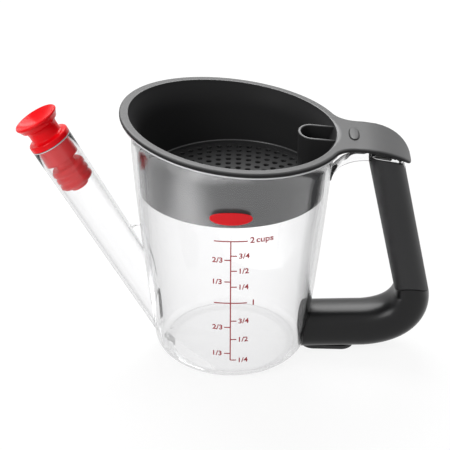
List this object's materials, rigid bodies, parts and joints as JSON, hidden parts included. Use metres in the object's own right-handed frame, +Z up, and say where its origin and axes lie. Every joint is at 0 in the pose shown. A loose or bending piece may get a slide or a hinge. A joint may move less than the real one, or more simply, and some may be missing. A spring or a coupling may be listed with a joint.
{
  "type": "gravy fat separator",
  "caption": "Clear measuring cup with a low pouring spout, lift-out strainer lid, pull-out spout stopper and a soft-grip handle.",
  "frame": {"origin": "centre of the cup's flat base, at table level", "axes": "+Z up along the cup's axis, +X towards the handle, the spout towards -X"},
  "size_m": [0.2055, 0.1088, 0.1316],
  "materials": {
    "clear_plastic": "clear, polished",
    "red_silicone": "satin",
    "strainer_plastic": "matte, fine-textured",
    "soft_grip": "matte",
    "arm_plastic": "satin",
    "screw_steel": "brushed",
    "scale_print": "printed ink",
    "badge_print": "printed ink"
  },
  "bodies": {
    "body": {"cup": "clear_plastic", "spout": "clear_plastic", "handle_frame": "clear_plastic", "grip": "soft_grip", "lower_arm": "arm_plastic", "heel_pad": "soft_grip", "arm_screw": "screw_steel", "scale_marks": "scale_print", "badge": "badge_print"},
    "strainer_lid": {"strainer": "strainer_plastic"},
    "spout_stopper": {"stopper": "red_silicone"}
  },
  "joints": [
    {"name": "strainer_lift", "type": "slide", "parent": "body", "child": "strainer_lid", "axis": [0, 0, 1], "range_m": [0, 0.06]},
    {"name": "stopper_pull", "type": "slide", "parent": "body", "child": "spout_stopper", "axis": [-0.4939, 0, 0.8695], "range_m": [0, 0.045]}
  ]
}
